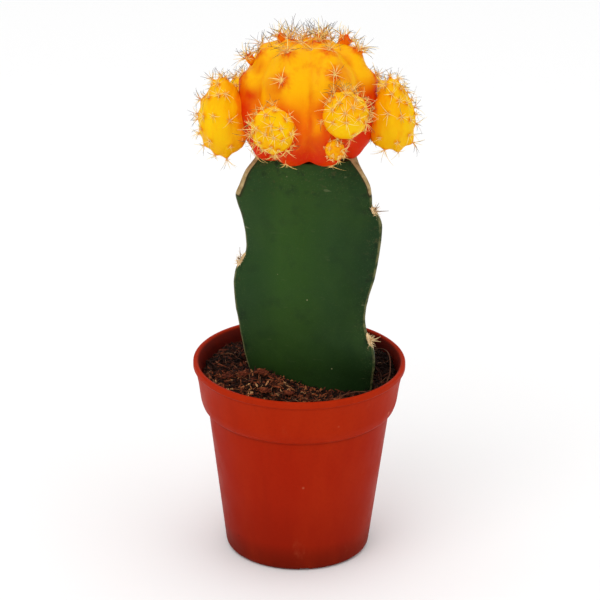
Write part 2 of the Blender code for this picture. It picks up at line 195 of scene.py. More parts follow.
class Nodes:
    # a material under construction; most methods add a node and return its output
    def __init__(self, name, roughness=0.5, specular=0.5):
        self.material = bpy.data.materials.new(name)
        self.material.use_nodes = True
        self.tree = self.material.node_tree
        self.shader = self.tree.nodes["Principled BSDF"]
        self.shader.inputs["Roughness"].default_value = roughness
        self.shader.inputs["Specular IOR Level"].default_value = specular
        self.place = self.make("TexCoord", "Object", {})

    def make(self, kind, output, inputs, **settings):
        node = self.tree.nodes.new("ShaderNode" + kind)
        for key, value in settings.items():
            setattr(node, key, value)
        for key, value in inputs.items():
            self.wire(value, node.inputs[key])
        return node.outputs[output]

    def wire(self, source, target):
        # where a plain number is wanted, a tuple is the settings of a noise
        if isinstance(source, tuple) and target.type == "VALUE":
            source = self.noise(*source)
        if isinstance(source, bpy.types.NodeSocket):
            self.tree.links.new(source, target)
        elif target.type == "RGBA" and len(source) == 3:
            target.default_value = linear(*source)
        else:
            target.default_value = source

    def attribute(self, name):
        return self.make("Attribute", "Fac", {}, attribute_name=name)

    def noise(self, scale, detail=3.0, rough=0.55, stretch=(1, 1, 1), warp=0.0):
        spread = self.make("Mapping", "Vector", {"Scale": stretch, "Vector": self.place})
        return self.make("TexNoise", "Fac", {"Vector": spread, "Scale": scale, "Detail": detail,
                                             "Roughness": rough, "Distortion": warp})

    def cells(self, scale):
        return self.make("TexVoronoi", "Distance", {"Vector": self.place, "Scale": scale})

    def axis(self, which):
        return self.make("SeparateXYZ", which, {"Vector": self.place})

    def math(self, operation, first, second):
        return self.make("Math", "Value", {0: first, 1: second}, operation=operation)

    def times(self, first, second):
        return self.math("MULTIPLY", first, second)

    def span(self, value, low, high, toLow=0.0, toHigh=1.0):
        inputs = {"Value": value, "From Min": low, "From Max": high, "To Min": toLow, "To Max": toHigh}
        return self.make("MapRange", "Result", inputs, interpolation_type="SMOOTHSTEP")

    def ramp(self, value, *stops):
        colour = self.make("ValToRGB", "Color", {"Fac": value})
        bar = colour.node.color_ramp
        while len(bar.elements) < len(stops):
            bar.elements.new(0.5)
        for element, (position, tint) in zip(bar.elements, stops):
            element.position = position
            element.color = linear(*tint)
        return colour

    def coat(self, share, colour):
        # lays another colour over what is there; inputs 6 and 7 are the two colours
        self.colour = self.make("Mix", 2, {"Factor": share, 6: self.colour, 7: colour}, data_type="RGBA")

    def clouds(self, *rows):
        # each row: a noise, where it starts and ends to show, how much at most, and its colour
        for settings, low, high, share, colour in rows:
            self.coat(self.span(settings, low, high, 0.0, share), colour)

    def flecks(self, *rows):
        # each row: how dense, size of the full and of the faded spot, how much at most, and its colour
        for scale, low, high, share, colour in rows:
            self.coat(self.span(self.cells(scale), low, high, share, 0.0), colour)

    def done(self, roughness=None, *bumps):
        # each bump: its height, depth and strength, the finest first
        normal = None
        for height, distance, strength in bumps:
            inputs = {"Height": height, "Distance": distance, "Strength": strength}
            if normal is not None:
                inputs["Normal"] = normal
            normal = self.make("Bump", "Normal", inputs)
        for key, value in (("Base Color", self.colour), ("Roughness", roughness), ("Normal", normal)):
            if value is not None:
                self.wire(value, self.shader.inputs[key])
        return self.material


camera = {
    "distance": 1.10,
    "elevation": 23.3,
    "lookHeight": 68.7 * mm,
    "lens": 256.3,
    "sensor": 36.0,
    "roll": 0.65,
}
target = Vector((0, 0, camera["lookHeight"]))


def aimed(azimuth, elevation, distance):
    # stands off from the target in that direction and looks at it
    out = direction(radians(azimuth), radians(elevation))
    return Matrix.Translation(target + out * distance) @ (-out).to_track_quat("-Z", "Y").to_matrix().to_4x4()


cameraData = bpy.data.cameras.new("camera")
cameraData.lens = camera["lens"]
cameraData.sensor_width = camera["sensor"]
cameraData.clip_start = 0.05
cameraData.clip_end = 20.0
cameraObject = placed("camera", cameraData)
cameraObject.matrix_world = (aimed(0, camera["elevation"], camera["distance"])
                             @ Matrix.Rotation(radians(camera["roll"]), 4, "Z"))
scene.camera = cameraObject

studio = {
    "world": 0.80,
    "floorColour": (0.96, 0.96, 0.96, 1.0),
    # name, azimuth, elevation, distance, size, watts
    "lamps": (
        ("keyLamp", -30, 54, 1.1, 0.8, 3.0),
        ("fillLamp", 60, 30, 1.2, 0.8, 0.7),
        ("topLamp", 150, 80, 1.2, 1.0, 2.4),
    ),
}
scene.view_settings.view_transform = "Standard"
scene.view_settings.look = "None"
world = bpy.data.worlds.new("studio")
world.use_nodes = True
world.node_tree.nodes["Background"].inputs["Color"].default_value = (1, 1, 1, 1)
world.node_tree.nodes["Background"].inputs["Strength"].default_value = studio["world"]
scene.world = world
for name, azimuth, elevation, distance, size, watts in studio["lamps"]:
    lamp = bpy.data.lights.new(name, "AREA")
    lamp.shape = "DISK"
    lamp.size = size
    lamp.energy = watts
    placed(name, lamp).matrix_world = aimed(azimuth, elevation, distance)

floorBm = bmesh.new()
bmesh.ops.create_grid(floorBm, x_segments=1, y_segments=1, size=6.0)
floorPaint = Nodes("floorPaint", roughness=0.9, specular=0.1)
floorMesh = bpy.data.meshes.new("floor")
floorBm.to_mesh(floorMesh)
floorBm.free()
floorPaint.colour = studio["floorColour"]
floorMesh.materials.append(floorPaint.done())
placed("floor", floorMesh)
report("camera, floor and lamps are set")


pot = {
    # radius and height of the outline's corners, and the radius each is rounded to, in mm
    "outer": (
        (0.0, 0.0, 0), (15.0, 0.0, 0), (18.5, 0.0, 1.7), (23.45, 38.1, 0.3), (23.55, 38.7, 0.25), (24.75, 39.5, 0.7),
        (25.45, 41.4, 1.4), (26.2, 46.8, 3.0), (27.0, 50.1, 0.8), (27.5, 50.45, 0.25), (27.5, 52.0, 0.6),
        (26.35, 52.0, 0.5), (25.55, 50.2, 1.2), (25.25, 47.0, 1.5), (24.45, 41.6, 2.0),
        (22.5, 38.0, 2.0), (17.55, 1.6, 1.8), (0.0, 1.6, 0),
    ),
    "steps": 144,
    "sharp": 32,
    # height and radius of the middle of the wall
    "midWall": ((0.0, 17.6), (38.2, 23.0), (41.6, 24.9), (47.0, 25.7), (50.2, 26.1), (52.1, 26.6)),
    "insideAbove": 1.5,
    "drains": 5,
    "firstDrain": 6,
    "holeRadius": 2.2,
    "holeRing": 12.5,
    "channelLength": 11.0,
    "channelWidth": 2.4,
    "channelDepth": 0.7,
    "channelStart": 9.0,
}


def roundedOutline(corners, steps=5):
    # each inner corner becomes a short arc that is tangent to the lines on both sides
    points = [Vector((corners[0][0], corners[0][1]))]
    for before, corner, after in zip(corners, corners[1:], corners[2:]):
        spot = Vector(corner[:2])
        towards = (Vector(before[:2]) - spot, Vector(after[:2]) - spot)
        reach = min(corner[2], 0.45 * towards[0].length, 0.45 * towards[1].length)
        if reach <= 0:
            points.append(spot)
            continue
        start, end = (spot + way.normalized() * reach for way in towards)
        for i in range(steps + 1):
            t = i / steps
            points.append(start * (1 - t) ** 2 + spot * 2 * t * (1 - t) + end * t**2)
    points.append(Vector(corners[-1][:2]))
    return points


def inOrder(mesh):
    # the cutter gives corners and faces in another order each run, so both are sorted
    order = sorted(range(len(mesh.vertices)), key=lambda i: tuple(mesh.vertices[i].co))
    rank = {old: new for new, old in enumerate(order)}
    faces = []
    for face in mesh.polygons:
        ring = [rank[i] for i in face.vertices]
        start = ring.index(min(ring))
        faces.append(ring[start:] + ring[:start])
    ordered = bpy.data.meshes.new("mesh")
    ordered.from_pydata([mesh.vertices[i].co for i in order], [], sorted(faces))
    ordered.shade_smooth()
    return ordered


def buildPot(material):
    bm = bmesh.new()
    verts = [bm.verts.new((p.x * mm, 0, p.y * mm)) for p in roundedOutline(pot["outer"])]
    edges = [bm.edges.new(pair) for pair in zip(verts, verts[1:])]
    bmesh.ops.spin(bm, geom=verts + edges, cent=(0, 0, 0), axis=(0, 0, 1), angle=2 * pi,
                   steps=pot["steps"], use_merge=True)
    shell = placed("shell", meshFrom(bm, pot["sharp"]))
    holes, channels = bmesh.new(), bmesh.new()
    length, radius = pot["channelLength"] * mm, pot["holeRadius"] * mm
    for i in range(pot["drains"]):
        azimuth = radians(pot["firstDrain"]) + 2 * pi * i / pot["drains"]
        hole = Matrix.Translation(direction(azimuth) * pot["holeRing"] * mm)
        bmesh.ops.create_cone(holes, cap_ends=True, segments=28, radius1=radius, radius2=radius, depth=8 * mm,
                              matrix=hole)
        middle = direction(azimuth) * (pot["channelStart"] * mm + length / 2)
        size = Matrix.Diagonal((pot["channelWidth"] * mm, length, 2 * pot["channelDepth"] * mm, 1))
        bmesh.ops.create_cube(channels, size=1, matrix=Matrix.Translation(middle)
                              @ Matrix.Rotation(azimuth, 4, "Z") @ size)
    cutters = []
    for name, cutBm in (("drainHoles", holes), ("drainChannels", channels)):
        cutters.append(placed(name, meshFrom(cutBm)))
        cut = shell.modifiers.new(name, "BOOLEAN")
        cut.operation = "DIFFERENCE"
        cut.solver = "EXACT"
        cut.object = cutters[-1]
    mesh = inOrder(finalMesh(shell))
    for item in (shell, *cutters):
        bpy.data.objects.remove(item)
    mesh.set_sharp_from_angle(angle=radians(pot["sharp"]))
    inside = []
    for vert in mesh.vertices:
        radius, height = vert.co.xy.length / mm, vert.co.z / mm
        inside.append(float(height > pot["insideAbove"] and radius < follow(pot["midWall"], height)))
    mesh.attributes.new("inside", "FLOAT", "POINT").data.foreach_set("value", inside)
    makePiece("potShell", mesh, material, ["pot"])


def potPaint():
    n = Nodes("potPlastic", roughness=0.5, specular=0.02)
    height = n.axis("Z")
    # painted shade: the colour darkens towards the foot, where the pot meets the floor, and lightens a little up to
    # the lip
    n.colour = n.ramp(
        n.span(height, 0.0, 0.052),
        (0.0, (110, 23, 7)), (0.06, (144, 28, 8)), (0.35, (156, 31, 9)), (0.75, (160, 31, 8)), (1.0, (168, 38, 8)))
    # broad clouds, fine grain and faint streaks down the wall, then dust low on it
    n.clouds(((60, 4, 0.6, (1, 1, 0.35)), 0.4, 0.75, 0.3, (180, 52, 16)),
             ((1100, 3, 0.6), 0.4, 0.8, 0.14, (120, 20, 6)),
             ((420, 3, 0.5, (1, 1, 0.04)), 0.5, 0.75, 0.16, (132, 26, 8)))
    dust = n.span((170, 5, 0.7, (1, 1, 0.5)), 0.6, 0.8, 0.0, 0.3)
    n.coat(n.times(dust, n.span(height, 0.0, 0.05, 1.0, 0.4)), (168, 84, 54))
    # painted shade: a dark line in the crease under the collar and where the lip flares
    inside = n.attribute("inside")
    outside = n.math("SUBTRACT", 1.0, inside)
    for low, middle, high, share in ((0.0380, 0.0386, 0.0394, 0.32), (0.0494, 0.0500, 0.0504, 0.2)):
        creaseShade = n.times(n.span(height, low, middle), n.span(height, middle, high, 1.0, 0.0))
        n.coat(n.times(n.times(creaseShade, outside), share), (96, 18, 6))
    # a few pale scuffs, and dark flecks of mix stuck to the plastic
    n.flecks((95, 0.03, 0.06, 0.5, (206, 118, 88)), (61, 0.015, 0.035, 0.75, (84, 20, 10)))
    # inside, the wall is painted darker below the lip as shade, a little mottled
    insideShade = n.times(n.span((240, 4), 0.3, 0.7, 0.8, 1.0), n.span(height, 0.0513, 0.0520, 1.0, 0.1))
    n.coat(n.times(inside, insideShade), (100, 31, 25))
    return n.done(n.span((130, 4, 0.65), 0.3, 0.75, 0.36, 0.54),
                  ((2600, 2), 0.00002, 0.5), ((90, 3, 0.5, (1, 1, 0.4)), 0.00012, 0.4))


buildPot(potPaint())
report("pot is turned and its drains are cut")


stem = {
    "faceRadius": 11.9,
    "ribPower": 3.0,
    "tipRound": 0.045,
    "faceSteps": 40,
    "levels": 120,
    "bottom": 21.0,
    "top": 109.3,
    "line": (
        (21.0, 3.2, 3.6), (46.9, 4.1, 4.4), (54.9, 2.9, 4.5), (62.9, 2.0, 4.6), (72.9, 1.7, 4.6),
        (98.9, 1.9, 4.6), (109.3, 1.6, 4.4),
    ),
    # azimuth, where the paring starts, its width before and after the edge, then height and reach of the edge
    "ribs": (
        (-70, 98.7, 0.2, 0.055, (
            (21, 10.0), (26, 13.8), (34, 16.3), (47.4, 17.6), (55, 18.2), (63, 18.8), (69, 19.6),
            (74, 20.0), (78, 19.4), (80.4, 18.0), (82.4, 16.8), (87, 16.9), (92, 17.9),
            (98.7, 19.8), (101.2, 18.7), (104.5, 17.1), (107.3, 14.6), (109.3, 12.8))),
        (52, 101.0, 0.016, 0.34, (
            (21, 10.0), (26, 13.5), (34, 16.3), (49, 18.9), (54, 20.6), (58, 21.0), (60.4, 20.3),
            (63, 19.0), (67, 18.8), (72, 19.8), (79, 21.8), (87, 23.2), (93.5, 23.4), (95.8, 22.4),
            (97.6, 20.5), (101.0, 20.1), (103.8, 19.3), (107.0, 16.6), (109.3, 14.0))),
        (170, 99.5, 0.05, 0.05, (
            (21, 8.0), (26, 11.0), (34, 12.6), (46, 14.0), (58, 16.6), (66, 17.2), (69, 15.7),
            (74, 15.4), (84, 17.0), (91, 17.8), (94, 16.6), (99, 16.8), (107.8, 13.2), (109.3, 12.4))),
    ),
    # rib number, height, pad length and width, in mm; the pad leans with the stem's slope
    "areoles": ((0, 80.3, 4.6, 1.3), (1, 96.9, 2.6, 1.5), (1, 60.9, 4.2, 1.3), (2, 69.6, 3.4, 1.5),
                (2, 94.8, 2.8, 1.4)),
}


def stemMiddle(height):
    return Vector((*follow(stem["line"], height), height))


def stemReach(height, azimuth):
    # distance from the middle line to the skin, and how far round the face it is, 0 at a rib
    ribs = [(radians(row[0]), row) for row in stem["ribs"]]
    for (start, edgeA), (end, edgeB) in zip(ribs, ribs[1:] + ribs[:1]):
        span = (end - start) % (2 * pi)
        s = ((azimuth - start) % (2 * pi)) / span
        if s <= 1:
            break
    near, (_, paring, before, after, edge) = (s * 2, edgeA) if s < 0.5 else ((1 - s) * 2, edgeB)
    cutWidth = after if s < 0.5 else before
    reach = follow(edge, height)
    pared = smoothStep(paring - 0.6, paring + 0.6, height)
    soft = max(sqrt(near**2 + stem["tipRound"] ** 2) - stem["tipRound"], pared * 0.014)
    rise = max(0.0, 1 - soft) ** stem["ribPower"]
    face = stem["faceRadius"] * min(1.0, reach / 14.0) ** 0.5
    return face + (reach - face) * rise, near, pared * fade(cutWidth, cutWidth + 0.03, near)


def buildRootstock(material):
    bottom, top = stem["bottom"], stem["top"]
    levels = [bottom + (top - bottom) * i / (stem["levels"] - 1) for i in range(stem["levels"])]
    ribs = [radians(row[0]) for row in stem["ribs"]]
    bearings = []
    for start, end in zip(ribs, ribs[1:] + ribs[:1]):
        span = (end - start) % (2 * pi)
        for i in range(stem["faceSteps"]):
            bearings.append(start + span * (1 - cos(pi * i / stem["faceSteps"])) / 2)
    bm = bmesh.new()
    cork, margin = newLayers(bm, "cork", "margin")

    def setRing(verts, height, inset=0.0, corky=0.0):
        middle = stemMiddle(height)
        for vert, azimuth in zip(verts, bearings):
            reach, near, pared = stemReach(height, azimuth)
            spot = middle + direction(azimuth) * reach
            swell = 0.22 * noise.noise(spot * 0.12) + 0.07 * noise.noise(spot * 0.5)
            spot += direction(azimuth) * (swell - inset)
            vert.co = spot * mm
            vert[cork] = max(corky, pared)
            vert[margin] = fade(0.0, 0.16, near)

    first = [bm.verts.new((cos(a), sin(a), 0)) for a in bearings]
    edges = [bm.edges.new(pair) for pair in zip(first, first[1:] + first[:1])]
    bm.faces.new(first)
    setRing(first, levels[0], 0.4)
    verts = first
    rings = [(level, 0.0, 0.0) for level in levels[1:-1]]
    rings += [(top - 0.25, 0.02, 0.0), (top - 0.05, 0.18, 0.3), (top, 0.5, 0.4), (top + 0.02, 1.6, 0.4),
              (top - 0.1, 3.2, 0.45), (top - 0.05, 5.5, 0.5)]
    for height, inset, corky in rings:
        grown = bmesh.ops.extrude_edge_only(bm, edges=edges)["geom"]
        new = {v for v in grown if isinstance(v, bmesh.types.BMVert)}
        verts = [next(e.other_vert(v) for e in v.link_edges if e.other_vert(v) in new) for v in verts]
        edges = [next(e for e in a.link_edges if e.other_vert(a) is b)
                 for a, b in zip(verts, verts[1:] + verts[:1])]
        setRing(verts, height, inset, corky)
    bm.faces.new(verts)
    makePiece("greenStem", meshFrom(bm, 70, merge=False), material, ["rootstock"])


def stemPaint():
    n = Nodes("greenStemSkin", roughness=0.46, specular=0.10)
    height, side = n.axis("Z"), n.axis("X")
    # painted light and shade: lighter just left of the middle, darker towards the right side
    n.colour = n.ramp(
        n.span(side, -0.016, 0.022),
        (0.0, (35, 61, 28)), (0.2, (44, 74, 24)), (0.42, (42, 71, 23)), (0.7, (36, 63, 26)), (1.0, (27, 51, 22)))
    # painted shade: darker low on the stem, under the pot's rim and near the mix
    n.coat(n.span(height, 0.046, 0.080, 0.55, 0.0), (24, 44, 15))
    n.clouds(((70, 4, 0.55, (1, 1, 0.5), 0.4), 0.42, 0.72, 0.4, (50, 76, 27)),
             ((190, 4, 0.6), 0.48, 0.75, 0.35, (28, 48, 22)))
    # fine pale pores, thicker towards the ribs and the graft
    nearEdge = n.math("MAXIMUM", n.attribute("margin"), n.span(height, 0.097, 0.107, 0.0, 0.8))
    pores = n.span(n.cells(1700), 0.16, 0.3, 1.0, 0.0)
    n.coat(n.times(pores, n.math("ADD", 0.05, n.times(nearEdge, 0.2))), (96, 112, 70))
    # scabs and bruises there
    scab = n.noise(520, 5, 0.7)
    n.coat(n.times(n.span(scab, 0.56, 0.68, 0.0, 0.75), n.times(nearEdge, 0.8)), (78, 74, 44))
    n.coat(n.times(n.span((380, 4, 0.65), 0.52, 0.7, 0.0, 0.8), nearEdge), (20, 32, 16))
    # short pale scratches, lying level, and a few flecks
    scratch = n.span((300, 3, 0.5, (0.7, 0.7, 3.0)), 0.68, 0.74, 0.0, 0.55)
    n.coat(n.times(scratch, n.math("ADD", 0.12, nearEdge)), (120, 124, 88))
    n.flecks((150, 0.018, 0.036, 0.7, (150, 148, 108)))
    # horny line on the rib edges, and cork where the knife has pared them
    horn = n.span(n.attribute("margin"), 0.9, 0.985)
    n.coat(n.times(horn, n.span((420, 4, 0.6), 0.36, 0.6, 0.1, 0.8)), (120, 116, 74))
    cork = n.attribute("cork")
    rim = n.times(n.span(cork, 0.02, 0.3), n.span(cork, 0.45, 0.8, 1.0, 0.0))
    n.coat(n.times(rim, 0.85), (44, 38, 18))
    n.coat(n.span(cork, 0.45, 0.85), n.ramp(
        (600, 5, 0.7), (0.3, (116, 94, 58)), (0.5, (166, 142, 98)), (0.75, (204, 184, 140))))
    roughness = n.math("MAXIMUM", n.span((200, 4), 0.3, 0.75, 0.4, 0.6), n.span(cork, 0.3, 0.8, 0.0, 0.85))
    swells = n.math("ADD", (260, 4), n.times(n.times(scab, nearEdge), 1.5))
    return n.done(roughness, ((1400, 3, 0.6), 0.00003, 0.6), (swells, 0.00012, 0.55))


buildRootstock(stemPaint())
report("rootstock is lofted")


scion = {
    "middle": Vector((1.1, 3.0, 120.4)),
    "tilt": 14,
    "half": Vector((17.6, 17.6, 16.4)),
    "base": 12.8,
    "squareness": 2.75,
    "footSquareness": 2.25,
    "droop": 0.32,
    "grooveDepth": 0.7,
    "ribs": 7,
    "firstRib": -21.5,
    "furrow": 0.10,
    # polar angle down the rib, bump height in mm, bump width in radians
    "rows": ((14, 0.9, 0.15), (39, 1.9, 0.19), (63, 0.7, 0.2), (89, 1.0, 0.2), (113, 1.0, 0.2), (133, 0.7, 0.17)),
    # length, lift and wool of each row's spines
    "rowSpines": ((5.4, 50, 0.5), (3.9, 34, 0.6), (2.7, 30, 0.5), (3.0, 26, 0.4), (3.0, 24, 0.4), (3.1, 10, 0.4)),
    # rib and row where the bump is off its regular place, and by how many degrees across and down
    "moved": {(1, 1): (-4, -1), (1, 2): (-5, -5), (0, 1): (0, 2), (6, 1): (4, 3), (2, 1): (-5, 2)},
    # azimuth and polar angle of a hollow or swelling, its height in mm and width in radians
    "hollows": (
        (-76, 50, -1.5, 0.22), (-74, 65, 0.5, 0.12), (-70, 108, -1.2, 0.24), (-60, 136, 1.2, 0.24),
        (84, 52, -0.6, 0.15), (80, 66, 0.5, 0.14), (88, 108, -0.7, 0.24), (76, 136, 1.1, 0.24),
        (4, 140, 1.5, 0.15), (-34, 128, 0.5, 0.16), (40, 132, 0.8, 0.16)),
    # reddish blotches: azimuth, polar angle, radius in mm and strength
    "blotches": ((-58, 52, 2.6, 0.4), (52, 44, 2.4, 0.25), (-30, 66, 3.8, 0.45), (36, 56, 3.4, 0.35),
                 (-27, 82, 3.6, 0.35)),
    # how many knobs crowd round the top, their height in mm and width in radians
    "crownKnobs": 15,
    "crownKnob": (0.75, 0.075),
    # how many spines an areole can have, how many the lowest row has, and the foot's cut below the stem's top
    "spineCounts": (12, 13, 15),
    "lowestCount": 5,
    "crownSpines": (3.2, 3, 52, 0.34),
    "footCut": 1.2,
    # no spines this near to a pup's middle, in mm
    "pupRoom": 5.2,
    "grid": (210, 116),
    "seed": 4,
}
goldenAngle = 137.5
pups = {
    # where the tip points (azimuth, elevation), turn of the spiral, narrowing towards the top,
    # and where single tubercles stick out of the outline, in mm from the middle, with height and width
    "pup_left": {"tip": (-84, 40), "turn": 40, "taper": 0.12, "corners": (
        (-4.9, -1.5, -8.6), (1.6, -2, -11), (5, -1, -6, 0.26, 0.45), (5, -1, 1, 0.18, 0.5), (-0.5, 0, 11, 0.05))},
    "pup_front_left": {"tip": (-22, 18), "turn": 0, "taper": 0.0, "corners": (
        (0.5, -3, -5.2), (-4.6, -3, 0.8), (3.4, -3, -4.4), (-3.4, -2, 4.4, 0.15, 0.35), (0.4, -2, 5.4, 0.19, 0.42))},
    "pup_front_right": {"tip": (30, 58), "turn": 70, "taper": 0.0, "corners": ((4.8, -2, 0.4), (-3.5, -2, 4))},
    "pup_low_right": {"tip": (22, -6), "turn": 0, "taper": 0.0},
    "pup_right": {"tip": (78, 44), "turn": 110, "taper": 0.27, "corners": (
        (4.9, -1.5, -7.8, 0.26, 0.24), (-2.6, -2, -9.6), (1.4, -1.5, -9.8, 0.13, 0.4), (-5, -1, -6.6, 0.36, 0.4),
        (-5, -1, 0, 0.14, 0.5))},
    "pup_back_right": {"tip": (136, 44), "turn": 150, "taper": 0.05},
    "pup_back": {"tip": (178, 30), "turn": 190, "taper": 0.0},
    "pup_back_left": {"tip": (-132, 44), "turn": 230, "taper": 0.05},
}
pupShape = {
    "half": Vector((0.92, 0.92, 0.92)),
    "base": 0.92,
    "squareness": 2.15,
    "footSquareness": 2.3,
    "droop": 0.0,
    "grooveDepth": 0.0,
    "ribs": 8,
    "furrow": 0.0,
    # how many tubercles are young and how many old, and the height that parts the two
    "tubercles": (20, 13),
    "smallTubercles": (10, 8),
    "smallLimit": 6,
    "youngSize": 0.06,
    # length, fewest, most and lift of the spines on young and on old tubercles
    "youngSpines": (2.9, 6, 12, 40),
    "oldSpines": (2.3, 4, 9, 32),
    "spineThin": 0.82,
    "grid": (120, 72),
    "smallGrid": (60, 36),
}
scionTurn = Matrix.Rotation(-radians(scion["tilt"]), 3, "X")
areoles = []  # the places where spines grow


def addAreole(at, out, length, count, lift, wool, thin=1.0):
    # length and wool in mm, lift off the skin in degrees
    areoles.append({"at": at, "out": out, "length": length, "count": count, "lift": lift, "wool": wool, "thin": thin})


def globeSpot(shape, way):
    # the skin's point along the unit vector "way"
    level = sqrt(max(0.0, 1 - way.z**2))
    half = shape["half"]
    height, power = (half.z, shape["squareness"]) if way.z > 0 else (shape["base"], shape["footSquareness"])
    wide = sqrt((way.x / half.x) ** 2 + (way.y / half.y) ** 2)
    radius = (wide**power + (abs(way.z) / height) ** power) ** (-1 / power)
    pitch = 2 * pi / shape["ribs"]
    off = (atan2(way.x, -way.y) - radians(shape["firstRib"])) / pitch
    furrow = 1 - sqrt(cos(off * pi) ** 2 + 0.05)
    radius *= 1 - shape["furrow"] * furrow * level**0.6
    radius *= 1 + shape["droop"] * (1 - furrow) * max(0.0, -way.z) * max(0.0, -way.y)
    for knob, size, width in shape["bumps"]:
        near = way.dot(knob)
        if near > 0.7:
            radius += size * exp(-(2 - 2 * near) / width**2)
    return way * radius


def skinNormal(spotOf, way, reach, outward):
    # spotOf gives the skin's point along a unit vector; reach is how far to either side it is felt
    side = way.orthogonal().normalized() * reach
    rise = way.cross(side)
    across, along = (spotOf((way + step).normalized()) - spotOf((way - step).normalized()) for step in (side, rise))
    normal = across.cross(along).normalized()
    return normal if normal.dot(outward) > 0 else -normal


def globeNormal(shape, way):
    return skinNormal(lambda w: globeSpot(shape, w), way, 0.02, way)


def globeMesh(shape, grid):
    # a sphere is stretched along every ray out to the ribbed surface
    bm = bmesh.new()
    groove = bm.verts.layers.float.new("groove")
    bmesh.ops.create_uvsphere(bm, u_segments=grid[0], v_segments=grid[1], radius=1)
    for vert in bm.verts:
        way = vert.co.normalized()
        off = (atan2(way.x, -way.y) - radians(shape["firstRib"])) * shape["ribs"] / (2 * pi)
        off = abs(off - round(off))
        line = exp(-(((off - 0.5) / 0.055) ** 2)) * max(0.0, 1 - way.z**2) ** 0.5
        vert[groove] = line * shape["grooveDepth"]
        vert.co = globeSpot(shape, way)
    return bm


def scionWay(rib, row):
    across, down = scion["moved"].get((rib, row), (0, 3.5 * (rib % 2)))
    polar = radians(scion["rows"][row][0] + down)
    azimuth = radians(scion["firstRib"] + rib * 360 / scion["ribs"] + across)
    return fromTop(azimuth, polar)


scion["bumps"] = [(scionWay(rib, row), *scion["rows"][row][1:])
                  for rib in range(scion["ribs"]) for row in range(len(scion["rows"]))]
for i in range(scion["crownKnobs"]):
    polar, azimuth = radians(9 + 24 * sqrt(i / scion["crownKnobs"])), radians(goldenAngle * i + 20)
    scion["bumps"].append((fromTop(azimuth, polar), *scion["crownKnob"]))
for azimuth, polar, size, width in scion["hollows"]:
    scion["bumps"].append((fromTop(radians(azimuth), radians(polar)), size, width))


def fleshPaint(name, stops, low, high, blushColour, cloudColour):
    # height ramp for the skin, then redder in the furrows and where the "blush" attribute says so
    n = Nodes(name, roughness=0.42, specular=0.055)
    n.shader.inputs["Subsurface Weight"].default_value = 0.12
    n.shader.inputs["Subsurface Radius"].default_value = (1.0, 0.4, 0.08)
    n.shader.inputs["Subsurface Scale"].default_value = 0.0018
    n.colour = n.ramp(n.span(n.axis("Z"), low, high), *stops)
    cloud = n.span((140, 4, 0.55, (1, 1, 0.6)), 0.42, 0.74, 0.0, 0.6)
    n.coat(n.times(cloud, n.span(n.axis("Z"), 0.111, 0.124)), cloudColour)
    n.clouds(((330, 4, 0.6, (1, 1, 0.25)), 0.5, 0.75, 0.35, blushColour),
             ((1100, 3, 0.6), 0.5, 0.8, 0.25, stops[-2][1]))
    # the furrows, the red parts and the ring round each areole, all a little broken up
    for name, settings, low, high, least, most, tint in (
            ("groove", (300, 3), 0.3, 0.7, 0.22, 0.5, blushColour),
            ("blush", (230, 4), 0.25, 0.7, 0.75, 1.0, blushColour),
            ("star", (900, 4, 0.7), 0.35, 0.6, 0.45, 1.0, (222, 66, 4))):
        n.coat(n.times(n.attribute(name), n.span(settings, low, high, least, most)), tint)
    return n.done(n.span((320, 4), 0.3, 0.75, 0.36, 0.54), ((1900, 2), 0.00002, 0.5), ((420, 4), 0.00010, 0.5))


pupCentres = [middleOf(name)[0] / mm for name in pups]


def scionSpot(way):
    # the globe's skin and its normal in the shared frame, in mm
    return scion["middle"] + scionTurn @ globeSpot(scion, way), scionTurn @ globeNormal(scion, way)


def toNearestPup(spot):
    return min((spot - centre).length for centre in pupCentres)


blotches = [(scionSpot(fromTop(radians(azimuth), radians(polar)))[0], size, strength)
            for azimuth, polar, size, strength in scion["blotches"]]


def scionBlush(spot):
    # the sides go red between the pups, and the flesh reddens where a pup grows out
    out = spot - scion["middle"]
    azimuth = abs(atan2(out.x, -out.y))
    ragged = 1.6 * noise.noise(spot * 0.22)
    aside = smoothStep(0.76, 1.05, azimuth + 0.1 * ragged) * fade(125.5, 131.5, spot.z + 1.5 * ragged)
    foot = fade(110.5, 116.5, spot.z + ragged)
    blotch = max(strength * fade(size * 0.3, size * 1.3, (spot - middle).length + 0.8 * ragged)
                 for middle, size, strength in blotches)
    return max(aside, foot, blotch, 0.62 * fade(5.4, 8.6, toNearestPup(spot) + ragged))


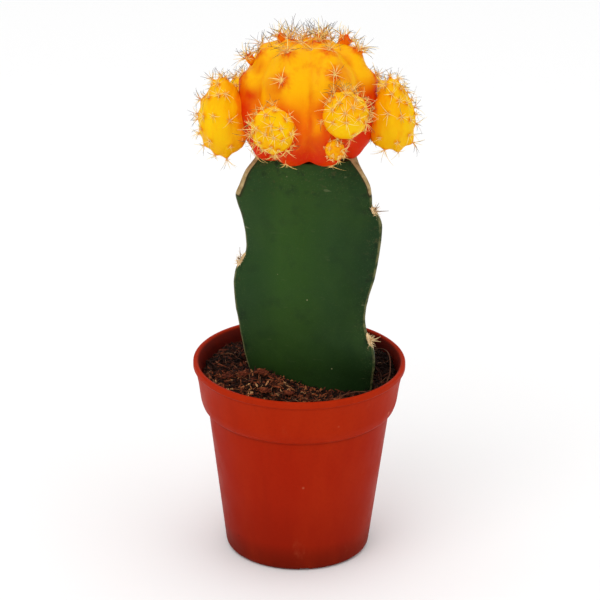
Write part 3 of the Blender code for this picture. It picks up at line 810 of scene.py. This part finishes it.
def buildScion(material):
    bm = globeMesh(scion, scion["grid"])
    for vert in bm.verts:
        vert.co += vert.co.normalized() * (0.35 * noise.noise(vert.co * 0.16) + 0.1 * noise.noise(vert.co * 0.6))
    bm.transform(Matrix.Translation(scion["middle"]) @ scionTurn.to_4x4())
    # the foot is cut just under the stem's top, and its rib ends hang over the stem's edge
    level = (0, 0, stem["top"] - scion["footCut"])
    cut = bmesh.ops.bisect_plane(bm, geom=bm.verts[:] + bm.edges[:] + bm.faces[:], plane_co=level,
                                 plane_no=(0, 0.05, 1), clear_inner=True)
    rim = [e for e in cut["geom_cut"] if isinstance(e, bmesh.types.BMEdge)]
    bmesh.ops.contextual_create(bm, geom=rim)
    spots = []
    rng = random.Random(scion["seed"])
    for rib in range(scion["ribs"]):
        for row in range(len(scion["rows"])):
            spot, out = scionSpot(scionWay(rib, row))
            if spot.z < stem["top"] + 0.2 or toNearestPup(spot) < scion["pupRoom"]:
                continue
            spots.append(spot)
            length, lift, wool = scion["rowSpines"][row]
            lowest = row == len(scion["rows"]) - 1
            count = scion["lowestCount"] if lowest else rng.choice(scion["spineCounts"])
            addAreole(spot, out, length, count, lift, wool)
    for way, size, width in scion["bumps"]:
        if (size, width) == scion["crownKnob"]:
            addAreole(*scionSpot(way), *scion["crownSpines"])
    blush, star = newLayers(bm, "blush", "star")
    for vert in bm.verts:
        vert[blush] = scionBlush(vert.co)
        near = min((vert.co - spot).length for spot in spots)
        vert[star] = 0.95 * fade(0.7, 3.4 + 1.6 * noise.noise(vert.co * 1.3), near)
    return makePiece("orangeGlobe", meshFrom(bm, 75, scale=mm), material, ["scion"])


scionPaint = fleshPaint("orangeGlobeSkin", [
    (0.0, (212, 42, 1)), (0.10, (222, 56, 1)), (0.22, (230, 80, 2)), (0.36, (238, 104, 2)),
    (0.52, (244, 130, 1)), (0.70, (244, 154, 1)), (0.86, (246, 180, 2)), (1.0, (244, 176, 3))],
    0.109, 0.1372, (212, 42, 1), (254, 188, 3))
globePiece = buildScion(scionPaint)
report("orange globe has its ribs")
scionTree = BVHTree.FromObject(globePiece, bpy.context.evaluated_depsgraph_get())


def insideScion(spot, margin):
    # spot in mm; True if it is under the orange globe's skin
    way = spot - scion["middle"]
    hit = scionTree.ray_cast(scion["middle"] * mm, way.normalized())
    return hit[0] is not None and way.length < (hit[0] / mm - scion["middle"]).length + margin


def spiralKnobs(young, old, turnDegrees, rng):
    # tubercles on a sunflower spiral: crowded and pointed round the tip, few and flat on the flanks
    knobs = []
    for i in range(young + old):
        if i < young:
            polar = 1.2 * sqrt((i + 0.35) / young)
            size, width = 0.09 * rng.uniform(0.6, 1.4), 0.15
        else:
            polar = 1.3 + 1.3 * (i - young + 0.5) / old
            size, width = 0.058, 0.17
        azimuth = radians(turnDegrees + goldenAngle * i) + rng.uniform(-0.12, 0.12)
        knobs.append((fromTop(azimuth, polar), size, width))
    return knobs


def buildPup(name, settings, material):
    centre, half = (v / mm for v in middleOf(name))
    small = half.length < pupShape["smallLimit"]
    rng = random.Random(name)
    turnTip = direction(*(radians(a) for a in settings["tip"])).to_track_quat("Z", "Y").to_matrix()
    shape = dict(pupShape, firstRib=settings["turn"])
    young, old = pupShape["smallTubercles" if small else "tubercles"]
    shape["bumps"] = spiralKnobs(young, old, settings["turn"], rng)
    for corner in settings.get("corners", ()):
        way = Vector((corner[0] / half.x, corner[1] / half.y, corner[2] / half.z))
        rise, width = (corner[3:] + (0.10, 0.18)[len(corner[3:]):])
        shape["bumps"].append(((turnTip.inverted() @ way).normalized(), rise, width))

    def toWorld(way):
        spot = turnTip @ globeSpot(shape, way)
        spot = Vector((spot.x * half.x, spot.y * half.y, spot.z * half.z))
        slim = 1 - settings["taper"] * smoothStep(-0.2, 1.1, spot.z / half.z)
        towards = Vector((scion["middle"].x - centre.x, scion["middle"].y - centre.y, 0)).normalized()
        shift = towards * (1 - slim) * half.x * 0.7
        return centre + Vector((spot.x * slim, spot.y * slim, spot.z)) + shift

    bm = globeMesh(shape, pupShape["smallGrid" if small else "grid"])
    for vert in bm.verts:
        vert.co = toWorld(vert.co.normalized())
    spots = []
    for way, size, width in shape["bumps"]:
        spot = toWorld(way)
        if width > 0.3 or insideScion(spot, 0.3):
            continue
        spots.append((spot, size))
        out = skinNormal(toWorld, way, 0.03, spot - centre)
        young = size > pupShape["youngSize"]
        base, fewest, most, lift = pupShape["youngSpines" if young else "oldSpines"]
        length = base * rng.uniform(0.65, 1.25) * (0.6 if small else 1.0)
        number = rng.randint(fewest, most) // (2 if small else 1)
        addAreole(spot, out, length, number, lift, rng.uniform(0.22, 0.36), pupShape["spineThin"])
    blush, star = newLayers(bm, "blush", "star")
    tip = toWorld(Vector((0, 0, 1)))
    for vert in bm.verts:
        depth = (vert.co - scion["middle"]).length
        depth += 1.2 * noise.noise(vert.co * 0.4)
        vert[blush] = max(0.9 * fade(18.3, 20.3, depth), 0.28 * fade(19.0, 23.5, depth))
        near, size = min(((vert.co - spot).length, size) for spot, size in spots)
        felt = 0.4 * fade(0.6, 3.0 + 1.5 * noise.noise(vert.co * 0.9), (vert.co - tip).length)
        vert[star] = max(felt, (0.75 if size > pupShape["youngSize"] else 0.6) * fade(0.15, 1.3, near))
    makePiece(name + "Globe", meshFrom(bm, 75, scale=mm), material, [name])


pupPaint = fleshPaint("yellowPupSkin", [
    (0.0, (241, 166, 3)), (0.3, (247, 190, 3)), (0.7, (250, 201, 4)), (1.0, (249, 192, 5))],
    0.106, 0.130, (242, 112, 4), (242, 160, 4))
for name, settings in pups.items():
    buildPup(name, settings, pupPaint)
report("pups are grown")

buds = {
    # how far the bud's red goes down it, and how many points it has
    "bud_left": {"points": 5, "red": 0.1, "root": 2.1},
    "bud_crown_left": {"points": 5, "red": 0.35},
    "bud_crown": {"points": 4, "red": 1.1},
    "bud_crown_right": {"points": 5, "red": 0.5},
    "bud_right": {"points": 4, "red": 0.2, "root": 1.8},
}
budShape = {
    # how far the points lean out in degrees, and how far they rise, as a share of the size
    "lean": (44, 60),
    "rise": (0.22, 0.4),
    "pointWidth": 0.3,
    "spines": (3.2, 7, 48, 0.24),
    "grid": (48, 30),
}


def buildBud(name, settings, material):
    # a young offset: a knob of a few pointed tubercles around its tip
    centre, half = (v / mm for v in middleOf(name))
    rng = random.Random(name)
    out = (centre - scion["middle"]).normalized()
    out = (out + Vector((0, 0, 0.35))).normalized()
    size = min(half) * 0.92
    place = Matrix.Translation(centre - out * 0.5) @ out.to_track_quat("Z", "Y").to_matrix().to_4x4()
    shape = dict(pupShape, half=Vector((size, size, size * 1.1)), base=size * settings.get("root", 1.3),
                 ribs=settings["points"], firstRib=rng.uniform(0, 72), furrow=0.1)
    ways = [Vector((0, 0, 1))]
    for i in range(settings["points"]):
        azimuth = radians(shape["firstRib"]) + 2 * pi * i / settings["points"]
        ways.append(fromTop(azimuth, radians(rng.uniform(*budShape["lean"]))))
    shape["bumps"] = [(way, size * rng.uniform(*budShape["rise"]), budShape["pointWidth"]) for way in ways]
    bm = globeMesh(shape, budShape["grid"])
    blush, star = newLayers(bm, "blush", "star")
    for vert in bm.verts:
        reach = vert.co.length / size
        vert[blush] = smoothStep(-0.2, 1.3, vert.co.z / size - settings["red"]) * 0.8
        vert[star] = smoothStep(1.12, 1.35, reach) * (1 - 0.6 * settings["red"])
    for way in ways:
        out = place.to_3x3() @ globeNormal(shape, way)
        addAreole(place @ globeSpot(shape, way), out, *budShape["spines"])
    bm.transform(place)
    makePiece(name + "Knob", meshFrom(bm, 75, scale=mm), material, [name])


budPaint = fleshPaint("redBudSkin", [
    (0.0, (244, 150, 3)), (0.5, (244, 146, 3)), (0.8, (240, 120, 3)), (1.0, (234, 104, 4))],
    0.128, 0.139, (206, 54, 3), (250, 170, 4))
for name, settings in buds.items():
    buildBud(name, settings, budPaint)
report("buds are set on the crown")


spines = {
    "points": 6,
    "thickness": 0.096,
    "curl": 0.55,
    "crownCount": 26,
    "crownLength": (5.0, 9.5),
    "wool": 11,
    "woolThickness": 0.05,
    "seed": 11,
}


def spineStrand(rng, at, out, bearing, length, lift, thickness, tint):
    # starts leaning at "lift" off the skin and curls a little towards it
    side = out.orthogonal().normalized()
    side.rotate(Matrix.Rotation(bearing, 3, out))
    curl = spines["curl"] * rng.uniform(0.2, 1.6)
    twist = rng.uniform(-0.6, 0.6)
    points = [at - out * 0.15]
    spot = at.copy()
    for i in range(1, spines["points"]):
        t = i / (spines["points"] - 1)
        angle = radians(lift) - curl * (t - 0.3)
        across = side.copy()
        across.rotate(Matrix.Rotation(twist * t, 3, out))
        way = across * cos(angle) + out * sin(angle)
        spot = spot + way * length / (spines["points"] - 1)
        points.append(spot)
    return [p * mm for p in points], thickness * mm, tint


def growSpines():
    rng = random.Random(spines["seed"])
    strands = []
    for areole in areoles:
        start = rng.uniform(0, 2 * pi)
        # spines on areoles turned to the sides, back or up get a higher tint, so tanner bodies and darker tips:
        # painted shade
        turnedAwayShade = smoothStep(-0.75, -0.2, areole["out"].y) * smoothStep(-0.9, -0.2, areole["out"].z)
        for i in range(areole["count"]):
            bearing = start + 2 * pi * i / areole["count"] + rng.uniform(-0.3, 0.3)
            length = areole["length"] * rng.uniform(0.45, 1.4)
            lift = areole["lift"] + rng.uniform(-16, 20)
            thickness = spines["thickness"] * rng.uniform(0.65, 1.25) * areole["thin"]
            tint = rng.random() * (0.55 + 0.45 * turnedAwayShade) + 0.25 * turnedAwayShade * rng.random()
            strands.append(spineStrand(rng, areole["at"], areole["out"], bearing, length, lift, thickness,
                                       min(tint, 1.0)))
    # the growing point at the top carries a loose tangle of long ones
    for i in range(spines["crownCount"]):
        polar = radians(rng.uniform(2, 38))
        azimuth = rng.uniform(0, 2 * pi)
        spot, out = scionSpot(fromTop(azimuth, polar))
        length = rng.uniform(*spines["crownLength"]) * (1 - 0.35 * polar)
        strands.append(spineStrand(rng, spot, out, rng.uniform(0, 2 * pi), length, rng.uniform(18, 66),
                                   spines["thickness"] * rng.uniform(0.9, 1.25), rng.uniform(0.5, 1.0)))
    return strands


def spinePaint():
    n = Nodes("spineHorn", roughness=0.5, specular=0.2)
    tint, along = n.attribute("tint"), n.attribute("along")
    n.colour = n.ramp(
        tint, (0.0, (255, 234, 150)), (0.45, (254, 218, 122)), (0.75, (240, 190, 96)), (1.0, (212, 150, 80)))
    n.coat(n.span(along, 0.0, 0.3, 0.45, 0.0), (240, 136, 24))
    # dark tips: the horn's own dark tips, deepened by the higher tint of turned-away spines, which is painted shade
    darkTipAndShade = n.times(n.span(along, 0.35, 0.75, 0.0, 1.0), n.span(tint, 0.35, 0.55, 0.05, 1.0))
    n.coat(darkTipAndShade, (58, 42, 40))
    return n.done(n.span((1200, 2), 0.3, 0.7, 0.42, 0.6))


def growWool():
    rng = random.Random(spines["seed"] + 1)
    strands = []
    for areole in areoles:
        for _ in range(spines["wool"]):
            jitter = anyWay(rng) * areole["wool"] * 0.6
            at = areole["at"] + jitter - areole["out"] * jitter.dot(areole["out"]) - areole["out"] * 0.05
            strands.append(spineStrand(rng, at, areole["out"], rng.uniform(0, 2 * pi),
                                       areole["wool"] * rng.uniform(1.2, 3.2), rng.uniform(20, 75),
                                       spines["woolThickness"] * rng.uniform(0.8, 1.4), rng.random()))
    return strands


def woolPads(sites, name, detail=1):
    # a small felted pad under each tuft
    rng = random.Random(name)
    bm = bmesh.new()
    for site in sites:
        size = site["wool"] * rng.uniform(0.85, 1.15)
        long = site.get("pad", (size, size))
        turnOut = site["out"].to_track_quat("Z", "Y").to_matrix().to_4x4()
        pad = (long[1], long[0], min(long) * site.get("plump", 0.5))
        for vert in addBall(bm, detail, site["at"] + site["out"] * 0.02, turnOut, pad):
            vert.co += anyWay(rng) * min(long) * 0.16
    return meshFrom(bm, 80, False, mm)


def plainPaint(name, roughness, specular, source, stops, speckle=None, grain=(), overlay=None):
    # source is an attribute's name or a noise, speckle a noise with its share and colour, grain a noise with
    # the bump's depth and strength, overlay an attribute's name and a colour
    n = Nodes(name, roughness, specular)
    n.colour = n.ramp(n.attribute(source) if isinstance(source, str) else source, *stops)
    if speckle:
        n.coat(n.span(speckle[0], 0.35, 0.7, 0.0, speckle[1]), speckle[2])
    if overlay:
        n.coat(n.attribute(overlay[0]), overlay[1])
    return n.done(None, *grain)


def woolPaint(name, stops):
    return plainPaint(name, 0.95, 0.05, (1500, 4, 0.65), stops, grain=[((3000, 4, 0.7), 0.0001, 0.8)])


woolFinish = woolPaint("areoleWool", [
    (0.3, (222, 166, 84)), (0.5, (250, 214, 136)), (0.7, (255, 240, 184))])
makePiece("globeSpines", strandMesh(growSpines()), spinePaint())
makePiece("areoleHairs", strandMesh(growWool()), woolFinish)
makePiece("areolePads", woolPads(areoles, "areolePads"), woolFinish)
report(f"{len(areoles)} areoles have their spines and wool")

stemSpines = {
    # areole number, bearing, elevation, length and thickness of each spine, in degrees and mm
    "spines": (
        (0, -66, 78, 3.6, 0.14), (0, -110, 20, 1.3, 0.14), (0, -40, 35, 1.6, 0.13), (0, -80, 45, 1.4, 0.15),
        (1, 50, 62, 3.0, 0.15), (1, 86, 4, 3.6, 0.17), (1, 20, 30, 1.6, 0.13), (1, 110, 40, 1.8, 0.12),
        (2, 82, 16, 3.4, 0.16), (2, 92, -4, 3.0, 0.14), (2, 60, 44, 2.2, 0.13), (2, 100, 48, 1.8, 0.12),
        (2, 30, 10, 1.6, 0.12), (3, 170, 50, 2.6, 0.15), (3, 200, 15, 2.2, 0.14), (3, 140, 5, 2.4, 0.14),
        (4, 165, 40, 2.4, 0.15), (4, 190, 5, 2.6, 0.14),
    ),
    "seed": 6,
    "hairs": 60,
    "hairSeed": 5,
    "hairThickness": 0.065,
}


stemSites = []
for ribNumber, height, long, wide in stem["areoles"]:
    azimuth = radians(stem["ribs"][ribNumber][0])
    below, reach, above = (stemReach(height + step, azimuth)[0] for step in (-1.5, 0, 1.5))
    stemSites.append({
        "at": stemMiddle(height) + direction(azimuth) * (reach - 0.1),
        "out": direction(azimuth, atan2(below - above, 3.0) * 0.9),
        "wool": wide / 2,
        "pad": (long / 2, wide / 2),
        "plump": 0.35,
    })


def growStemHairs():
    rng = random.Random(stemSpines["hairSeed"])
    strands = []
    for site in stemSites:
        for _ in range(stemSpines["hairs"]):
            jitter = anyWay(rng, (-0.7, 0.7), (-0.7, 0.7), (-1.5, 1.5))
            at = site["at"] + jitter - site["out"] * jitter.dot(site["out"])
            strands.append(spineStrand(rng, at, site["out"], rng.uniform(0, 2 * pi), rng.uniform(0.7, 2.3),
                                       rng.uniform(15, 80), stemSpines["hairThickness"], rng.random()))
    return strands


def growStemSpines():
    rng = random.Random(stemSpines["seed"])
    strands = []
    for number, azimuth, elevation, length, thickness in stemSpines["spines"]:
        site = stemSites[number]
        way = direction(radians(azimuth), radians(elevation))
        bend = anyWay(rng, (-1, 1), (-1, 1), (-0.3, 1)) * 0.12
        points = [(site["at"] + way * length * i / 4 + bend * length * (i / 4) ** 2) * mm for i in range(5)]
        strands.append((points, thickness * mm, 0.8 if number == 2 else 0.1))
    return strands


stemHorn = plainPaint("stemSpineHorn", 0.5, 0.2, "along", [
    (0.0, (150, 104, 66)), (0.3, (104, 68, 46)), (0.7, (120, 84, 62)), (1.0, (70, 48, 42))],
    speckle=((1500, 3), 0.5, (58, 38, 28)), overlay=("tint", (238, 204, 150)))
stemWool = woolPaint("stemWool", [
    (0.3, (192, 150, 102)), (0.5, (240, 210, 160)), (0.7, (255, 240, 206))])
makePiece("stemAreolePads", woolPads(stemSites, "stemAreolePads", 3), stemWool)
makePiece("stemAreoleHairs", strandMesh(growStemHairs()), stemWool)
makePiece("stemSpines", strandMesh(growStemSpines()), stemHorn)
report("stem areoles are set")


mix = {
    "seed": 21,
    "crumbs": 1800,
    "crumbSize": (0.22, 0.75),
    "shreds": 3600,
    "shredLength": (0.9, 3.6),
    "fibres": 110,
    "fibrePoints": 7,
    "fibreLength": (2.0, 7.5),
    "wallRadius": 25.1,
    "fibreEdge": 24.7,
    "lowest": 44,
    "stemLevel": 48,
    # x, y, radius and height of the mounds, in mm
    "mounds": ((-13.5, -4.5, 4.5, 1.0), (-15.0, 12.0, 8.0, 2.3), (-22.0, 3.0, 6.0, 1.3), (-2.0, 22.0, 8.0, 1.4),
               (10.0, 20.0, 8.0, 1.6), (22.0, 7.0, 8.0, 3.2)),
}
mixTree = BVHTree.FromBMesh(packedSolid("potting_mix"))


def mixSwell(x, y):
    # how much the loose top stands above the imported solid
    swell = 0.0
    for middleX, middleY, radius, rise in mix["mounds"]:
        swell += rise * exp(-((x - middleX) ** 2 + (y - middleY) ** 2) / radius**2)
    return swell * fade(24.4, 26.5, Vector((x, y)).length)


def mixHeight(x, y):
    hit = mixTree.ray_cast(Vector((x, y, 80)) * mm, Vector((0, 0, -1)))
    return hit[0].z / mm + mixSwell(x, y) if hit[0] is not None else None


def clearOfStem(spot):
    # how far a place on the mix is from the stem's side
    level = mix["stemLevel"]
    away = Vector((spot.x, spot.y, 0)) - Vector((*stemMiddle(level).xy, 0))
    return away.length - stemReach(level, atan2(away.x, -away.y))[0]


def openSpot(rng, margin=0.2):
    # a place on the mix between the pot's wall and the stem
    while True:
        radius = mix["wallRadius"] * sqrt(rng.random()) - margin
        azimuth = rng.uniform(0, 2 * pi)
        spot = direction(azimuth) * radius
        if clearOfStem(spot) > margin:
            height = mixHeight(spot.x, spot.y)
            if height is not None and height > mix["lowest"]:
                return Vector((spot.x, spot.y, height))


def buildMixBody(material):
    bm = packedSolid("potting_mix", 0.000005)
    topFaces = [f for f in bm.faces if f.normal.z > 0.5 and f.calc_center_median().z > 0.045]
    edges = list({e for f in topFaces for e in f.edges})
    bmesh.ops.subdivide_edges(bm, edges=edges, cuts=4, use_grid_fill=True)
    for vert in bm.verts:
        if vert.co.z > 0.0455:
            spot = vert.co / mm
            radius = spot.xy.length
            calm = fade(24.0, 24.9, radius)
            vert.co.z += (0.35 * noise.noise(spot * 0.45) + 0.25 * noise.noise(spot * 1.3)) * mm * calm
            vert.co.z += mixSwell(spot.x, spot.y) * mm
    makePiece("mixBody", meshFrom(bm, 180, merge=False), material, ["potting_mix"])


def buildCrumbs(material):
    # round crumbs and longer shreds, tumbled over the mix
    rng = random.Random(mix["seed"])
    bm = bmesh.new()
    tint = bm.verts.layers.float.new("tint")
    for i in range(mix["crumbs"] + mix["shreds"]):
        spot = openSpot(rng)
        shred = i >= mix["crumbs"]
        if shred:
            length, width = rng.uniform(*mix["shredLength"]) / 2, rng.uniform(0.10, 0.30)
            size = (length, width, width * rng.uniform(0.4, 1.0))
            tilt = Matrix.Rotation(rng.gauss(0, 0.35), 4, "Y")
            turnAny = Matrix.Rotation(rng.uniform(0, pi), 4, "Z") @ tilt @ Matrix.Rotation(rng.uniform(0, pi), 4, "X")
            lift = width * rng.uniform(0.0, 1.6)
            if spot.xy.length > mix["wallRadius"] - length:
                spot.xy *= (mix["wallRadius"] - length) / spot.xy.length
        else:
            width = rng.uniform(*mix["crumbSize"]) * (0.5 + 0.5 * rng.random())
            size = (width * rng.uniform(0.7, 1.6), width, width * rng.uniform(0.4, 1.0))
            axis = anyWay(rng, (-1, 1), (-1, 1), (0.01, 1))
            turnAny = Matrix.Rotation(rng.uniform(0, pi), 4, axis)
            lift = width * rng.uniform(-0.1, 0.45)
        made = addBall(bm, 1, spot + Vector((0, 0, lift)), turnAny, size)
        # painted shade: darker towards the back and the right, lighter and redder in front on the left
        backShade = smoothStep(-6, 6, spot.y) * 0.35 + smoothStep(4, 14, spot.x) * 0.4
        shade = rng.random() ** (1.15 if shred else 1.8) * (1 - backShade)
        for vert in made:
            vert.co += anyWay(rng) * width * 0.25
            vert[tint] = shade
    makePiece("mixCrumbs", meshFrom(bm, 30, False, mm), material)


def buildFibres(material):
    rng = random.Random(mix["seed"] + 1)
    strands = []
    while len(strands) < mix["fibres"]:
        spot = openSpot(rng, 0.6)
        bearing = rng.uniform(0, 2 * pi)
        length = rng.uniform(*mix["fibreLength"]) * rng.uniform(0.5, 1.0)
        curve = rng.uniform(-0.3, 0.3)
        points = []
        height = 0.2
        for _ in range(mix["fibrePoints"]):
            ground = mixHeight(spot.x, spot.y)
            if (ground is None or ground < mix["lowest"] or spot.xy.length > mix["fibreEdge"]
                    or clearOfStem(spot) < 0.2):
                break
            points.append(Vector((spot.x, spot.y, ground + height + 0.25)))
            bearing += curve + rng.uniform(-0.25, 0.25)
            height = max(0.05, height + rng.uniform(-0.25, 0.3))
            spot = spot + direction(bearing) * length / (mix["fibrePoints"] - 1)
        if len(points) == mix["fibrePoints"]:
            strands.append(([p * mm for p in points], rng.uniform(0.05, 0.11) * mm, 0.85 * rng.random()))
    makePiece("mixFibres", strandMesh(strands), material)


buildMixBody(plainPaint("pottingMix", 0.92, 0.05, (700, 5, 0.7), [
    (0.3, (18, 10, 7)), (0.5, (38, 22, 15)), (0.7, (66, 38, 26))], grain=[((1600, 5, 0.7), 0.0003, 1.0)]))
buildCrumbs(plainPaint("mixCrumb", 0.85, 0.12, "tint", [
    (0.0, (22, 12, 8)), (0.3, (44, 24, 17)), (0.55, (96, 45, 29)), (0.8, (150, 74, 42)),
    (0.92, (176, 108, 66)), (1.0, (212, 164, 112))],
    speckle=((1800, 4, 0.7), 0.5, (28, 15, 11)), grain=[((2600, 4, 0.7), 0.00015, 0.9)]))
coirFinish = plainPaint("coirFibre", 0.7, 0.15, "tint", [
    (0.0, (62, 36, 26)), (0.45, (116, 70, 46)), (0.75, (158, 112, 78)), (1.0, (204, 172, 134))],
    speckle=((1500, 3), 0.4, (70, 42, 30)))
buildFibres(coirFinish)
report("mix is crumbled")

chips = {"seed": 3, "detail": 4, "breaks": 9, "roughness": 0.35, "splinters": 26}


def buildChip(name, material):
    # a broken flake of bark with splinters lying along it
    centre, half = middleOf(name)
    rng = random.Random(name + str(chips["seed"]))
    bm = bmesh.new()
    addBall(bm, chips["detail"])
    for _ in range(chips["breaks"]):
        normal = anyWay(rng, (-1, 1), (-1, 1), (-0.4, 1)).normalized()
        depth = rng.uniform(0.55, 0.85)
        for vert in bm.verts:
            over = vert.co.dot(normal) - depth
            if over > 0:
                vert.co -= normal * over * 0.9
    shift = anyWay(rng, (0, 50), (0, 50), (0, 50))
    for vert in bm.verts:
        grain = Vector((vert.co.x, vert.co.y * 3.5, vert.co.z * 3.5))
        rough = noise.noise(vert.co * 2.2 + shift) + 0.5 * noise.noise(grain * 1.6 + shift)
        vert.co *= 1 + chips["roughness"] * rough
    bm.transform(Matrix.Diagonal((*(half * 0.85), 1)))
    for _ in range(chips["splinters"]):
        out = anyWay(rng, (-0.8, 0.8), (-0.8, 0.8), (-0.3, 0.75)) * half
        length, width = rng.uniform(0.5, 1.3) * mm, rng.uniform(0.12, 0.26) * mm
        turnAny = Matrix.Rotation(rng.gauss(0.4, 0.6), 4, "Z") @ Matrix.Rotation(rng.gauss(0, 0.25), 4, "Y")
        addBall(bm, 1, out, turnAny, (length, width, width))
    lift = Vector((0, 0, mixSwell(centre.x / mm, centre.y / mm) * mm))
    bm.transform(Matrix.Translation(centre + lift))
    makePiece(name + "Flake", meshFrom(bm, 40, merge=False), material, [name])


barkFinish = plainPaint("barkChip", 0.85, 0.1, (420, 5, 0.7, (1, 1, 3)), [
    (0.3, (50, 24, 16)), (0.5, (108, 48, 30)), (0.7, (160, 86, 52))], grain=[((900, 5, 0.7, (1, 1, 3)), 0.0003, 1.0)])
for name in sorted(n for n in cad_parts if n.startswith("bark_chip")):
    buildChip(name, barkFinish)


def buildCoir(name, shade, material):
    # the packed fibre again, closed up and made uneven
    bm = packedSolid(name, 0.000002)
    tint = bm.verts.layers.float.new("tint")
    bm.normal_update()
    for vert in bm.verts:
        vert[tint] = shade
        vert.co += vert.normal * (0.06 * noise.noise(vert.co / mm * 1.2) - 0.07) * mm
        vert.co.z += mixSwell(vert.co.x / mm, vert.co.y / mm) * mm
    makePiece(name + "Strand", meshFrom(bm, 60, merge=False), material, [name])


for name, shade in (("coir_fibre_1", 0.3), ("coir_fibre_2", 0.3), ("coir_fibre_3", 0.5)):
    buildCoir(name, shade, coirFinish)
report("chips and fibres are laid")
